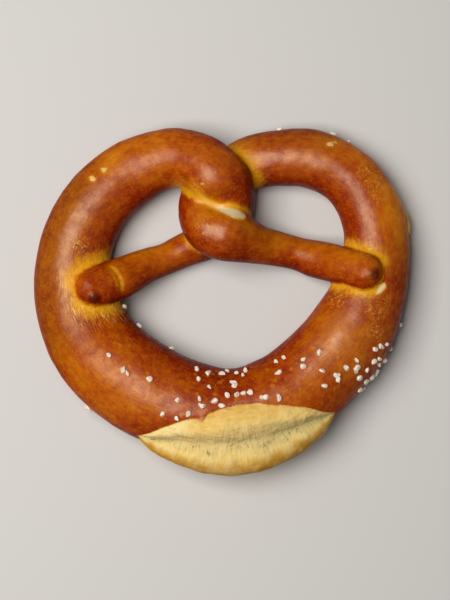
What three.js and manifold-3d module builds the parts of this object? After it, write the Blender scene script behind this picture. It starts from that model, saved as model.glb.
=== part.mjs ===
// A baked lye pretzel, one rope of dough: a thick belly with a burst cut, two rings, a twisted knot
// and two thin arms pressed onto the rings, with coarse salt on the crust.
// Millimetres, +Z up. It lies flat on its base, with the belly towards -Y and the knot towards +Y.
import * as THREE from "three";
import { mergeVertices } from "three/addons/utils/BufferGeometryUtils.js";
import Module from "manifold-3d";

const wasm = await Module();
wasm.setup();

// Driving dimensions
const SIDES = 28; // facets round the rope
const FINE_STEP = 4; // spacing of the sections along the burst cut and in the knot
const ROPE_STEP = 6; // spacing of the sections elsewhere
const WIDEST = 0.44; // height of the widest line, as a share of the rope's thickness
const LOWER_SQUARENESS = 2.2; // exponent of the fuller lower half of a section
const BOX_MIDDLE = { x: -0.32, y: -0.15 }; // middle of the whole outline in the stations' coordinates

// The rope's stations, from the left arm's end to the right arm's end.
// Each is [x, y, width, crown, underside], with heights above the tray. Dough below 0 is trimmed flat.
const LEFT_ARM = [
  [-54.4, 5.2, 18.6, 31, 13],
  [-42.4, 9.6, 17.6, 26, 9],
  [-34.0, 14.0, 15.4, 19.5, 4],
  [-24.7, 17.6, 13.6, 15, -1],
  [-16.2, 21.6, 14.6, 14.5, -2],
];
const LEFT_STRAND_IN_KNOT = [
  [-7.5, 25.2, 16.0, 15.5, -2],
  [0.3, 31.4, 16.8, 18, -2],
  [3.2, 40.2, 20.8, 25, 3],
  [1.0, 47.7, 24.0, 31, 9],
  [-5.0, 53.7, 25.6, 32, 11],
  [-12.6, 59.0, 25.2, 29, 6],
];
const LEFT_RING = [
  [-24.1, 60.2, 25.8, 24.5, -1],
  [-38.9, 54.2, 28.2, 22.5, -1.6],
  [-52.9, 42.4, 29.4, 23, -1.6],
  [-61.7, 26.5, 30.4, 24, -1.6],
  [-64.2, 9.5, 32.3, 25.5, -1.6],
  [-60.5, -7.9, 36.3, 27.5, -2],
  [-50.6, -24.1, 39.4, 30, -2],
];
const BELLY = [
  [-34.5, -36.8, 40.6, 31.5, -2],
  [-14.6, -46.0, 40.2, 33, -2],
  [6.0, -48.8, 39.8, 33.5, -2],
  [26.2, -41.6, 39.2, 32.5, -2],
];
const BELLY_MIDDLE = 2; // the rope's middle is this station of the belly
const RIGHT_RING = [
  [42.4, -28.0, 37.8, 30.5, -2],
  [55.0, -12.4, 36.2, 28.5, -2],
  [62.6, 4.0, 31.8, 26, -1.6],
  [65.6, 22.0, 28.0, 23.5, -1.6],
  [62.8, 38.4, 26.4, 22, -1.6],
  [53.6, 52.2, 25.2, 21.5, -1.6],
  [39.4, 59.9, 25.2, 21, -1.6],
  [24.0, 60.9, 24.2, 20, -1.6],
];
const RIGHT_STRAND_IN_KNOT = [
  [10.4, 58.2, 23.0, 18, -2],
  [-0.2, 51.2, 19.4, 17.5, -2],
  [-7.6, 44.7, 19.8, 22, 0],
  [-9.1, 37.2, 19.8, 27, 5],
  [-4.6, 30.3, 22.6, 31, 10],
  [3.8, 27.2, 23.2, 31.5, 12],
];
const RIGHT_ARM = [
  [13.8, 24.0, 17.4, 24, 7],
  [22.4, 22.2, 15.0, 17, 1],
  [31.0, 20.2, 14.4, 14.5, -2],
  [39.4, 17.7, 15.8, 17.5, 1],
  [47.6, 15.5, 16.0, 24, 7],
  [59.2, 11.7, 16.0, 31.5, 16],
];
const LEFT_RING_START = -176; // where the left strand leaves the knot, along the rope
const RIGHT_RING_END = 180; // where the right strand enters the knot
// Lengths of rope with closer sections
const FINE = [
  { from: -216, to: -184 },
  { from: -42, to: 40 },
  { from: 192, to: 232 },
];

// The burst cut on the belly. Lengths run along the rope from its middle, left negative. Angles go up
// from the outer side, so 90 is the crown.
const BURST = {
  from: -35,
  to: 33.5,
  tip: 26, // angle of both pointed ends
  low: -26, // lowest edge of the opening
  groove: 60, // the torn line between the two swollen lips
  lean: 6, // how far the groove climbs towards the right tip
  top: 105, // highest edge of the opening
  lowerLip: 5.6, // swelling of the lower lip
  upperLip: 1.6, // swelling of the upper lip
  grooveDepth: 1.8,
  grooveHalf: 14, // half of the groove's angle
};
// Facet lines of a section that follow the opening's lower edge, groove and upper edge
const BURST_LINES = { low: 12, groove: 18, top: 22 };
const BURST_TIP_HALF = 50; // half of the angle that those lines keep at a pointed end
const BURST_FADE = 24; // length beyond each end in which the facet lines become even again

// A low tear in the crust along the right ring's outer foot
const TEAR = { from: 103.5, to: 122, angle: -14, half: 26, swell: 1.2 };

// The dried end of the rope on each arm's tip
const NUBS = [
  [-53.6, 0.8, 29.2],
  [62.4, 10.8, 30.1],
];
const NUB_RADIUS = 2.8;
const NUB_FLATNESS = 0.45;

// Coarse salt. Each patch has count grains, spread from and to along the rope and between two angles.
const SALT_SEED = 20;
const SALT_SIZE = { least: 2.2, most: 3.4 };
const SALT_SUNK = 0.22; // share of a grain's size that is pressed into the crust
const SALT = [
  { from: -62, to: -40, low: 74, high: 114, count: 4 },
  { from: -31, to: -14, low: 76, high: 110, count: 6 },
  { from: -23, to: -12, low: 126, high: 160, count: 4 },
  { from: -12, to: 17, low: 104, high: 122, count: 8 },
  { from: -10, to: 13, low: 128, high: 168, count: 7 },
  { from: 19, to: 36, low: 96, high: 150, count: 4 },
  { from: 35, to: 52, low: 56, high: 118, count: 10 },
  { from: 49, to: 66, low: 24, high: 72, count: 8 },
  { from: 45, to: 60, low: -14, high: 26, count: 13 },
  { from: 64, to: 74, low: -6, high: 6, count: 2 },
  { from: -58, to: -52, low: -4, high: 4, count: 2 },
  { from: -90, to: -40, low: 166, high: 178, count: 3 },
  { from: 136, to: 164, low: -4, high: 6, count: 3 },
];

const stations = [
  ...LEFT_ARM,
  ...LEFT_STRAND_IN_KNOT,
  ...LEFT_RING,
  ...BELLY,
  ...RIGHT_RING,
  ...RIGHT_STRAND_IN_KNOT,
  ...RIGHT_ARM,
];
const middleStation = LEFT_ARM.length + LEFT_STRAND_IN_KNOT.length + LEFT_RING.length + BELLY_MIDDLE;
const spans = stations.length - 1;
const SAMPLES_PER_SPAN = 24;
const route = curveOf(([x, y]) => new THREE.Vector3(x - BOX_MIDDLE.x, y - BOX_MIDDLE.y, 0));
const girth = curveOf(([, , width, crown, underside]) => new THREE.Vector3(width, crown, underside));
route.arcLengthDivisions = spans * SAMPLES_PER_SPAN;
const lengths = route.getLengths();
const middleLength = lengths[middleStation * SAMPLES_PER_SPAN];
const ropeStart = -middleLength;
const ropeEnd = route.getLength() - middleLength;

function curveOf(read) {
  return new THREE.CatmullRomCurve3(stations.map(read), false, "catmullrom", 0.5);
}

function smoothstep(edge0, edge1, x) {
  const t = THREE.MathUtils.clamp((x - edge0) / (edge1 - edge0), 0, 1);
  return t * t * (3 - 2 * t);
}

// The rope at a length along it from the belly's middle
function ropeAt(along) {
  const t = route.getUtoTmapping(0, along + middleLength);
  const centre = route.getPoint(t);
  const tangent = route.getTangent(t);
  const size = girth.getPoint(t);
  return {
    along,
    centre,
    tangent,
    outward: new THREE.Vector3(tangent.y, -tangent.x, 0),
    half: size.x / 2,
    crown: size.y,
    middle: size.z + (size.y - size.z) * WIDEST,
    underside: size.z,
  };
}

// How wide open the burst cut is at a length along the rope, from 0 at its ends to 1, and its groove's angle there
function opening(along) {
  const middle = (BURST.from + BURST.to) / 2;
  const share = (along - middle) / ((BURST.to - BURST.from) / 2);
  const open = Math.abs(share) < 1 ? Math.pow(1 - share * share, 0.7) : 0;
  return { open, groove: BURST.tip + (BURST.groove + BURST.lean * share - BURST.tip) * open };
}

// Swelling of the burst cut: two lips with a groove between them
function burstRelief(along, angle) {
  const { open, groove } = opening(along);
  if (open === 0) return 0;
  const edge = (widest) => BURST.tip + (widest - BURST.tip) * open;
  const lower = (groove - angle) / (groove - edge(BURST.low));
  const upper = (angle - groove) / (edge(BURST.top) - groove);
  const swell = (share, height) => (share > 0 && share < 1 ? height * Math.sin(Math.PI * share) ** 0.7 : 0);
  const cut = Math.max(0, 1 - Math.abs(angle - groove) / BURST.grooveHalf);
  return open * (swell(lower, BURST.lowerLip) + swell(upper, BURST.upperLip) - BURST.grooveDepth * cut);
}

// The ridge of torn crumb that the low tear pushes out
function tearRelief(along, angle) {
  const length = smoothstep(TEAR.to, TEAR.to - 17, along) * smoothstep(TEAR.from, TEAR.from + 3, along);
  const width = Math.max(0, 1 - Math.abs(angle - TEAR.angle) / TEAR.half);
  return TEAR.swell * length * width;
}

// A point of the rope's skin, at an angle in degrees up from its outer side
function skin(section, angle) {
  const turn = THREE.MathUtils.degToRad(angle);
  let across = Math.cos(turn);
  let up = Math.sin(turn);
  const relief = burstRelief(section.along, angle) + tearRelief(section.along, angle);
  const bulge = new THREE.Vector3()
    .addScaledVector(section.outward, across * relief)
    .add(new THREE.Vector3(0, 0, up * relief));
  if (up < 0) {
    across = Math.sign(across) * Math.abs(across) ** (2 / LOWER_SQUARENESS);
    up = -(Math.abs(up) ** (2 / LOWER_SQUARENESS));
  }
  const rise = up > 0 ? section.crown - section.middle : section.middle - section.underside;
  return section.centre
    .clone()
    .addScaledVector(section.outward, across * section.half)
    .setZ(section.middle + up * rise)
    .add(bulge);
}

// The angles of a section's facet lines. Three of them follow the burst cut, and the rest share what is left.
function facetAngles(along) {
  const even = (line) => -180 + (360 * line) / SIDES;
  const beyond = Math.max(BURST.from - along, along - BURST.to, 0);
  const near = 1 - smoothstep(0, BURST_FADE, beyond);
  const { open, groove } = opening(along);
  const edge = (narrow, widest) => narrow + (widest - narrow) * open;
  const lines = [
    [BURST_LINES.low, edge(BURST.tip - BURST_TIP_HALF, BURST.low)],
    [BURST_LINES.groove, groove],
    [BURST_LINES.top, edge(BURST.tip + BURST_TIP_HALF, BURST.top)],
  ].map(([line, angle]) => [line, THREE.MathUtils.lerp(even(line), angle, near)]);
  lines.push([lines[0][0] + SIDES, lines[0][1] + 360]);
  const angles = [];
  for (let i = 1; i < lines.length; i++) {
    const [[line0, angle0], [line1, angle1]] = [lines[i - 1], lines[i]];
    for (let line = line0; line < line1; line++)
      angles.push(THREE.MathUtils.mapLinear(line, line0, line1, angle0, angle1));
  }
  return angles.map((angle) => (angle > 180 ? angle - 360 : angle));
}

// The points round one section
function ringOf(section) {
  return facetAngles(section.along).map((angle) => skin(section, angle));
}

// The same section moved along the rope and shrunk, for a rounded end
function shrunk(section, shift, share) {
  const height = (section.crown + section.underside) / 2;
  return {
    ...section,
    centre: section.centre.clone().addScaledVector(section.tangent, shift),
    half: section.half * share,
    crown: height + (section.crown - height) * share,
    middle: height + (section.middle - height) * share,
    underside: height + (section.underside - height) * share,
  };
}

// A closed length of rope through neighbouring sections
function tubeThrough(sections) {
  const rings = sections.map(ringOf);
  const hub = (ring) => ring.reduce((sum, p) => sum.add(p), new THREE.Vector3()).divideScalar(SIDES);
  const [first, last] = [rings[0], rings.at(-1)];
  const triangles = [];
  for (let i = 0; i < SIDES; i++) {
    const next = (i + 1) % SIDES;
    for (let r = 1; r < rings.length; r++) {
      const [near, far] = [rings[r - 1], rings[r]];
      triangles.push(near[i], far[i], far[next], near[i], far[next], near[next]);
    }
    triangles.push(hub(first), first[i], first[next], hub(last), last[next], last[i]);
  }
  return solidOf(new THREE.BufferGeometry().setFromPoints(triangles));
}

function solidOf(geometry) {
  geometry.deleteAttribute("normal");
  geometry.deleteAttribute("uv");
  const merged = mergeVertices(geometry, 1e-4);
  return new wasm.Manifold(
    new wasm.Mesh({
      numProp: 3,
      vertProperties: merged.attributes.position.array,
      triVerts: new Uint32Array(merged.index.array),
    }),
  );
}

function geometryOf(solid) {
  const mesh = solid.getMesh();
  const geometry = new THREE.BufferGeometry();
  geometry.setAttribute("position", new THREE.BufferAttribute(mesh.vertProperties, 3));
  geometry.setIndex(new THREE.BufferAttribute(mesh.triVerts, 1));
  return geometry;
}

// Every section of the rope, with a rounded end on each arm
function sectionsOfRope() {
  const sections = [];
  const fine = (along) => FINE.some(({ from, to }) => along > from && along < to);
  for (let along = ropeStart; along < ropeEnd; along += fine(along) ? FINE_STEP : ROPE_STEP)
    sections.push(ropeAt(along));
  sections.push(ropeAt(ropeEnd));
  const roundEnd = (section, way) =>
    [20, 40, 58, 74, 86].map((degrees) => {
      const turn = THREE.MathUtils.degToRad(degrees);
      return shrunk(section, way * section.half * Math.sin(turn), Math.cos(turn));
    });
  return [...roundEnd(sections[0], -1).reverse(), ...sections, ...roundEnd(sections.at(-1), 1)];
}

// Even random numbers from 0 to 1, the same on each run
function drawer(seed) {
  let state = seed;
  return () => {
    state = (state * 16807) % 2147483647;
    return state / 2147483647;
  };
}

// One salt grain: a small chipped block
function grain(point, normal, draw) {
  const size = THREE.MathUtils.lerp(SALT_SIZE.least, SALT_SIZE.most, draw());
  const shape = new THREE.IcosahedronGeometry(size / 2, 0);
  shape.rotateX(draw() * Math.PI);
  shape.rotateZ(draw() * Math.PI);
  shape.scale(1.1, 0.7 + 0.25 * draw(), 0.75);
  const lie = new THREE.Quaternion().setFromUnitVectors(new THREE.Vector3(0, 0, 1), normal);
  shape.rotateZ(draw() * Math.PI * 2);
  shape.applyQuaternion(lie);
  const rise = size * (0.375 - SALT_SUNK);
  shape.translate(point.x + normal.x * rise, point.y + normal.y * rise, point.z + normal.z * rise);
  return solidOf(shape);
}

// Salt spread in its patches, each grain square to the skin under it
function saltGrains() {
  const draw = drawer(SALT_SEED);
  const grains = [];
  for (const patch of SALT) {
    for (let i = 0; i < patch.count; i++) {
      const along = patch.from + (patch.to - patch.from) * ((i + draw()) / patch.count);
      const angle = THREE.MathUtils.lerp(patch.low, patch.high, draw());
      const section = ropeAt(along);
      const point = skin(section, angle);
      const round = skin(section, angle + 2).sub(skin(section, angle - 2));
      const normal = new THREE.Vector3().crossVectors(round, section.tangent).normalize();
      grains.push(grain(point, normal, draw));
    }
  }
  return grains;
}

function nub([x, y, z]) {
  const ball = new THREE.IcosahedronGeometry(NUB_RADIUS, 1);
  ball.scale(1, 1, NUB_FLATNESS);
  ball.translate(x - BOX_MIDDLE.x, y - BOX_MIDDLE.y, z);
  return solidOf(ball);
}

// Everything below the tray's surface
function belowTray() {
  const slab = new THREE.BoxGeometry(400, 400, 50);
  slab.translate(0, 0, -25);
  return solidOf(slab);
}

// The one body that counts, without the specks that touching links leave
function largestBody(solid) {
  return solid.decompose().reduce((most, body) => (body.volume() > most.volume() ? body : most));
}

function pretzelSolid() {
  const sections = sectionsOfRope();
  const split = (name) => sections.findIndex((section) => section.along > name);
  const [left, right] = [split(LEFT_RING_START), split(RIGHT_RING_END)];
  const lengths = [sections.slice(0, left + 1), sections.slice(left, right + 1), sections.slice(right)];
  const dough = wasm.Manifold.union([...lengths.map(tubeThrough), ...NUBS.map(nub)]);
  const baked = largestBody(dough).subtract(belowTray());
  return largestBody(baked.add(wasm.Manifold.union(saltGrains())));
}

const crust = new THREE.MeshStandardMaterial({ color: 0x9a4a12, roughness: 0.4, metalness: 0 });
const pretzel = new THREE.Mesh(geometryOf(pretzelSolid()), crust);
pretzel.name = "pretzel";

const part = new THREE.Group();
part.add(pretzel);
export default part;
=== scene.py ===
"""A baked lye pretzel with a burst belly and coarse salt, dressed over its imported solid.

Lengths in the first half are millimetres, as the dough was drawn; metres() turns them at the end.
"""

import math

import bmesh
import bpy
import numpy as np
from mathutils import Matrix, Vector, noise
from mathutils.bvhtree import BVHTree
from mathutils.interpolate import poly_3d_calc


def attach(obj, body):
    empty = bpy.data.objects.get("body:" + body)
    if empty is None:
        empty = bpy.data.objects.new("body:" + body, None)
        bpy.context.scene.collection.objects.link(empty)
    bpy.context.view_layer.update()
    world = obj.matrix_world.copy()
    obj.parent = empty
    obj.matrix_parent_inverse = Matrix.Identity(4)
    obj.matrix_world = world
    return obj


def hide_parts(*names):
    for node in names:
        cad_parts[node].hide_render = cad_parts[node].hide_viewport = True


# The rope of dough, from the left arm's end to the right one's: x, y, width, crown and underside
LEFT_ARM = [
    (-54.4, 5.2, 18.6, 31, 13),
    (-42.4, 9.6, 17.6, 26, 9),
    (-34.0, 14.0, 15.4, 19.5, 4),
    (-24.7, 17.6, 13.6, 15, -1),
    (-16.2, 21.6, 14.6, 14.5, -2),
]
LEFT_STRAND = [
    (-7.5, 25.2, 16.0, 15.5, -2),
    (0.3, 31.4, 16.8, 18, -2),
    (3.2, 40.2, 20.8, 25, 3),
    (1.0, 47.7, 24.0, 31, 9),
    (-5.0, 53.7, 25.6, 32, 11),
    (-12.6, 59.0, 25.2, 29, 6),
]
LEFT_RING = [
    (-24.1, 60.2, 25.8, 24.5, -1),
    (-38.9, 54.2, 28.2, 22.5, -1.6),
    (-52.9, 42.4, 29.4, 23, -1.6),
    (-61.7, 26.5, 30.4, 24, -1.6),
    (-64.2, 9.5, 32.3, 25.5, -1.6),
    (-60.5, -7.9, 36.3, 27.5, -2),
    (-50.6, -24.1, 39.4, 30, -2),
]
BELLY = [
    (-34.5, -36.8, 40.6, 31.5, -2),
    (-14.6, -46.0, 40.2, 33, -2),
    (6.0, -48.8, 39.8, 33.5, -2),
    (26.2, -41.6, 39.2, 32.5, -2),
]
RIGHT_RING = [
    (42.4, -28.0, 37.8, 30.5, -2),
    (55.0, -12.4, 36.2, 28.5, -2),
    (62.6, 4.0, 31.8, 26, -1.6),
    (65.6, 22.0, 28.0, 23.5, -1.6),
    (62.8, 38.4, 26.4, 22, -1.6),
    (53.6, 52.2, 25.2, 21.5, -1.6),
    (39.4, 59.9, 25.2, 21, -1.6),
    (24.0, 60.9, 24.2, 20, -1.6),
]
RIGHT_STRAND = [
    (10.4, 58.2, 23.0, 18, -2),
    (-0.2, 51.2, 19.4, 17.5, -2),
    (-7.6, 44.7, 19.8, 22, 0),
    (-9.1, 37.2, 19.8, 27, 5),
    (-4.6, 30.3, 22.6, 31, 10),
    (3.8, 27.2, 23.2, 31.5, 12),
]
RIGHT_ARM = [
    (13.8, 24.0, 17.4, 24, 7),
    (22.4, 22.2, 15.0, 17, 1),
    (31.0, 20.2, 14.4, 14.5, -2),
    (39.4, 17.7, 15.8, 17.5, 1),
    (47.6, 15.5, 16.0, 24, 7),
    (59.2, 11.7, 16.0, 31.5, 16),
]
STRANDS = [LEFT_ARM, LEFT_STRAND, LEFT_RING, BELLY, RIGHT_RING, RIGHT_STRAND, RIGHT_ARM]
STATIONS = np.array(sum(STRANDS, []), float)

# The belly's station from which lengths along the rope are counted, and the box's middle on the tray
MIDDLE_STATION = len(LEFT_ARM) + len(LEFT_STRAND) + len(LEFT_RING) + 2
BOX_MIDDLE = np.array([-0.32, -0.15])

# The rope's section: how far up it is widest, how square its lower half is, and its usual radius
WIDEST = 0.44
LOWER_SQUARENESS = 2.2
ROPE_RADIUS = 18

# How finely the dough is made
SAMPLES_PER_SPAN = 24
ALONG_STEP = 1.0
AROUND_STEPS = 112
CAP_STEPS = 12
DOUGH_GRAIN = 0.81

# How creases are measured: their reach, the rope taken at a time, and what counts as the strand itself
CREASE_REACH = 14.0
CREASE_PIECE = 24
OWN_STRAND = 48
MOST_PAIRS = 4000000

# How creases are softened: how near the next strand is, and how many rounds, everywhere and on the knot
CREASE_SOFTENED = (3.2, 6)
KNOT_SOFTENED = (6.5, 34)
KNOT = {"from": 184, "to": 238, "top": 17}

# The burst on the belly, in millimetres along the rope and degrees up from its outer side
BURST = {"from": -35, "to": 33.5, "tip": 26, "low": -26, "groove": 57, "lean": 6}
BURST_SWELL = {"lower": 5.8, "upper": 1.9, "groove": 0.6}

# The burst's upper edge: shares of half its length, and angles
BURST_TOP = [
    (-1, 26),
    (-0.8, 60),
    (-0.6, 79),
    (-0.4, 88),
    (-0.22, 101),
    (0.05, 107),
    (0.3, 103),
    (0.6, 87),
    (0.82, 68),
    (1, 26),
]

# The torn groove's width and wander in degrees, and how much skin a degree is there
GROOVE_WIDTH = 18
GROOVE_WANDER = 3.5
MM_PER_DEGREE = 0.35

# A small notch in the burst's upper edge
NOTCH = {"along": -14.2, "half": 1.2, "depth": 2.0}

# A low ragged tear along the right ring's outer foot, blunt at its lower end and pointed at its upper one
TEAR = {"from": 103.5, "to": 122, "angle": -14, "half": 26, "swell": 1.2}

# The dried end of the rope on each arm: x, y and height
NUBS = [(-53.6, 0.8, 29.2), (62.4, 10.8, 30.1)]

# Pale blisters where the lye ran thin: x, y and size
FLECKS = [(-55.2, 51.0, 1.5), (-50.2, 54.8, 1.1), (44.6, 65.5, 0.9), (46.0, 66.0, 1.2), (47.4, 66.5, 0.9)]

# Where fine golden cracks gather in the crust: x, y and reach
CRACKED = [
    (63.3, 51.9, 7.5),
    (65.9, 44.6, 4.5),
    (59.5, 22.1, 4.5),
    (64.6, -3.4, 5.5),
    (63.3, -12.8, 4),
    (47.6, 0.5, 4),
    (-60.8, 23.4, 5),
    (-9.8, 47.0, 4),
    (-8.0, 30.0, 4),
]

# The stretched pale skin of the knot's seam: its middle, half its length and width, and the way it runs
SEAM_MIDDLE = (2.6, 37.0)
SEAM_HALF = (7.2, 1.6)
SEAM_WAY = math.radians(-20)

# The golden band and the paler line in it that run out from the seam to the left, along the seam's way
TAIL = {"from": -17.0, "to": 6.0, "half": 2.0}
STRETCH = {"from": -12.5, "to": -2.0, "half": 1.1}

# The swollen tip of the left arm, and how far from its middle the dough is drawn in round its neck
TIP_MIDDLE = (-52.4, 5.4)
NECK_RADIUS = 10.4

# The pale scar beside the right arm's tip
SCAR = {"middle": (65.8, 4.6), "half": (2.7, 0.95), "way": math.radians(45)}

# Where the crust baked darker, or is lighter when below nought, than its strand: x, y, reach and how much;
# some lighter patches are painted highlights and painted light, as marked
BAKED_AND_PAINTED_LIGHT = [
    (8.9, 45.9, 7, 0.22),
    # painted highlight on the knot's left loop
    (-7.6, 36.1, 6, -0.3),
    # golden patch right of the knot: its golden colour, made lighter as painted light where the knot shades
    # it
    (7.6, 60.5, 7, -0.4),
    (-3.4, 59.5, 8, -0.12),
    # painted highlight on the top right crown
    (32.7, 61.6, 12, -0.15),
    # painted light on the right ring's outer flank, which the lamp leaves in shade
    (73.1, 42.5, 9, -0.2),
    (54.0, 14.9, 8, -0.15),
    (28.5, 21.3, 10, -0.14),
    (28.5, 16.2, 7, 0.3),
    (-31.0, 16.2, 8, -0.17),
    (-53.6, 9.8, 7, 0.12),
    (-46.3, 56.1, 5, -0.4),
    (-36.1, 54.2, 10, 0.1),
    (-3.0, -34.0, 14, 0.12),
    # lighter patch on the belly's lower left: partly baked colour, partly painted highlight
    (-48.0, -44.0, 14, -0.18),
    (32.7, -36.1, 12, -0.14),
    # painted highlight on the right shoulder's crown
    (54.0, -19.1, 12, -0.14),
]

# Where the ring's outer side baked darker, or is lighter when below nought: its start, full, fade and end,
# and how much; the lighter stretch is painted light on the right ring's outer side, which the lamp leaves in
# shade
OUTER_BAKED_AND_PAINTED_LIGHT = [
    (140, 158, 172, 184, 0.12),
    (56, 66, 88, 98, 0.03),
    # painted light: the right ring's outer side, which the lamp leaves in shade
    (100, 110, 136, 148, -0.25),
]

# How glossy the crust came out at lengths along the rope
GLOSS = [
    (-285, 0.4),
    (-232, 0.5),
    (-200, 0.8),
    (-165, 0.6),
    (-148, 0.65),
    (-122, 0.9),
    (-104, 0.9),
    (-90, 0.5),
    (-70, 0.25),
    (-54, 0.6),
    (-35, 0.7),
    (0, 0.6),
    (30, 0.6),
    (56, 1.6),
    (80, 0.8),
    (125, 0.8),
    (156, 1.2),
    (180, 0.6),
    (211, 1.2),
    (240, 0.6),
    (285, 0.4),
]

# Salt grains: where the draws start, their sizes, how deep they sit as a share, and the flats on each
SALT_SEED = 20
SALT_SIZE = (2.2, 3.4)
SALT_SUNK = 0.22
SALT_FLATS = 8

# Salt patches: from and to along the rope, from and to round it in degrees, and how many grains
SALT = [
    (-62, -40, 74, 114, 4),
    (-31, -14, 76, 110, 6),
    (-23, -12, 126, 160, 4),
    (-12, 17, 104, 122, 8),
    (-10, 13, 128, 168, 7),
    (19, 36, 96, 150, 4),
    (35, 52, 56, 118, 10),
    (49, 66, 24, 72, 8),
    (45, 60, -14, 26, 13),
    (64, 74, -6, 6, 2),
    (-58, -52, -4, 4, 2),
    (-90, -40, 166, 178, 3),
    (136, 164, -4, 6, 3),
]

# The photograph's frame: its height on the dough, where its middle falls, and the height where it is true
FRAME_HEIGHT = 255.0
FRAME_MIDDLE = (1.17, 0.15)
SCALE_HEIGHT = 13.0
LENS = 100
SENSOR = 36


def metres(value):
    """Millimetres as metres."""
    return np.asarray(value) * 0.001


def smoothstep(edge0, edge1, x):
    """A soft step, 0 at the first edge and 1 at the second."""
    t = np.clip((x - edge0) / (edge1 - edge0), 0, 1)
    return t * t * (3 - 2 * t)


def between(x, start, full, fade, end):
    """A share that rises from start to full and falls again from fade to end."""
    return smoothstep(start, full, x) * smoothstep(end, fade, x)


def hump(x, half):
    """A soft hump, 1 at nought and about a third where x is half."""
    return np.exp(-((x / half) ** 2))


def curve_at(points, t):
    """A curve through points, at shares t of its stations."""
    before_first = 2 * points[0] - points[1]
    after_last = 2 * points[-1] - points[-2]
    p = np.vstack([before_first, points, after_last])
    x = np.clip(t, 0, 1) * (len(points) - 1)
    i = np.minimum(x.astype(int), len(points) - 2)
    w = (x - i)[:, None]
    before, here, there, after = p[i], p[i + 1], p[i + 2], p[i + 3]
    leave = (there - before) / 2
    arrive = (after - here) / 2
    cubic = 2 * here - 2 * there + leave + arrive
    square = -3 * here + 3 * there - 2 * leave - arrive
    return cubic * w**3 + square * w**2 + leave * w + here


ROUTE = STATIONS[:, :2] - BOX_MIDDLE
GIRTH = STATIONS[:, 2:]
SHARES = np.linspace(0, 1, (len(STATIONS) - 1) * SAMPLES_PER_SPAN + 1)
STEPS = np.linalg.norm(np.diff(curve_at(ROUTE, SHARES), axis=0), axis=1)
TRAVEL = np.concatenate([[0], np.cumsum(STEPS)])
MIDDLE = TRAVEL[MIDDLE_STATION * SAMPLES_PER_SPAN]
ROPE_START = -MIDDLE
ROPE_END = TRAVEL[-1] - MIDDLE


def rope_at(along):
    """The rope's middle line, outward direction and section; past its ends it closes round."""
    inside = np.clip(along, ROPE_START, ROPE_END)
    t = np.interp(inside + MIDDLE, TRAVEL, SHARES)
    centre = curve_at(ROUTE, t)
    tangent = curve_at(ROUTE, t + 1e-4) - curve_at(ROUTE, t - 1e-4)
    tangent /= np.linalg.norm(tangent, axis=1)[:, None]
    width, crown, under = curve_at(GIRTH, t).T
    past = along - inside
    share = np.sqrt(np.clip(1 - (past / (width / 2)) ** 2, 0, 1))
    height = (crown + under) / 2
    middle = under + (crown - under) * WIDEST
    return {
        "along": inside,
        "centre": centre + tangent * past[:, None],
        "tangent": tangent,
        "outward": np.stack([tangent[:, 1], -tangent[:, 0]], axis=1),
        "half": width / 2 * share,
        "crown": height + (crown - height) * share,
        "middle": height + (middle - height) * share,
        "under": height + (under - height) * share,
    }


def burst_edge(share):
    """The opening's upper edge, an angle at a share of its half length."""
    fine = np.linspace(-1.2, 1.2, 481)
    edge = np.interp(fine, *zip(*BURST_TOP))
    kernel = np.hanning(25)
    padded = np.pad(edge, 12, mode="edge")
    return np.interp(share, fine, np.convolve(padded, kernel / kernel.sum(), mode="valid"))


def burst_at(along, wander=0.0):
    """How open the burst is, and the angles of its groove and edges, at lengths along the rope."""
    share = (along - (BURST["from"] + BURST["to"]) / 2) / ((BURST["to"] - BURST["from"]) / 2)
    opened = np.clip(1 - share * share, 0, 1) ** 0.7
    groove = BURST["tip"] + (BURST["groove"] + BURST["lean"] * share - BURST["tip"]) * opened + wander
    low = BURST["tip"] + (BURST["low"] - BURST["tip"]) * opened
    top = np.maximum(burst_edge(share), BURST["tip"])
    return share, opened, groove, low, top


def burst_relief(along, angle, wander=0.0):
    """Swelling of the burst's two lips and the torn groove between them."""
    _, opened, groove, low, top = burst_at(along, wander)
    lower = np.clip((groove - angle) / np.maximum(groove - low, 1), 0, 1)
    upper = np.clip((angle - groove) / np.maximum(top - groove, 1), 0, 1)
    lower_lip = BURST_SWELL["lower"] * np.sin(np.pi * lower) ** 1.5
    upper_lip = BURST_SWELL["upper"] * np.sin(np.pi * upper) ** 1.6
    cut = BURST_SWELL["groove"] * hump(angle - groove, GROOVE_WIDTH)
    return opened * (lower_lip + upper_lip - cut)


def tear_share(along, angle):
    """How much of the low tear there is at a place, from 0 to 1."""
    length = between(along, TEAR["from"], TEAR["from"] + 2, TEAR["to"] - 17, TEAR["to"])
    return length * np.clip(1 - np.abs(angle - TEAR["angle"]) / TEAR["half"], 0, 1)


def skin(along, angle, wander=0.0):
    """Points of the dough's skin, at angles in degrees up from the rope's outer side."""
    rope = rope_at(along)
    turn = np.radians(angle)
    across = np.cos(turn)
    up = np.sin(turn)
    relief = burst_relief(rope["along"], angle, wander) + TEAR["swell"] * tear_share(rope["along"], angle)
    relief = relief * (np.abs(along - rope["along"]) < 0.001)
    bulge_out = across * relief
    bulge_up = up * relief
    square = 2 / LOWER_SQUARENESS
    across = np.where(up < 0, np.sign(across) * np.abs(across) ** square, across)
    up = np.where(up < 0, -(np.abs(up) ** square), up)
    rise = np.where(up > 0, rope["crown"] - rope["middle"], rope["middle"] - rope["under"])
    flat = rope["centre"] + rope["outward"] * (across * rope["half"] + bulge_out)[:, None]
    return np.column_stack([flat, np.maximum(rope["middle"] + up * rise + bulge_up, 0)])


def rough(points, size, octaves=3, seed=0.0):
    """Soft random values near -1 to 1 at points, with features of a size."""
    shift = Vector((seed * 17.3, seed * 5.1, seed * 9.7))
    return np.array([noise.fractal(Vector(p) / size + shift, 1.0, 2.0, octaves) for p in points])


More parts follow.
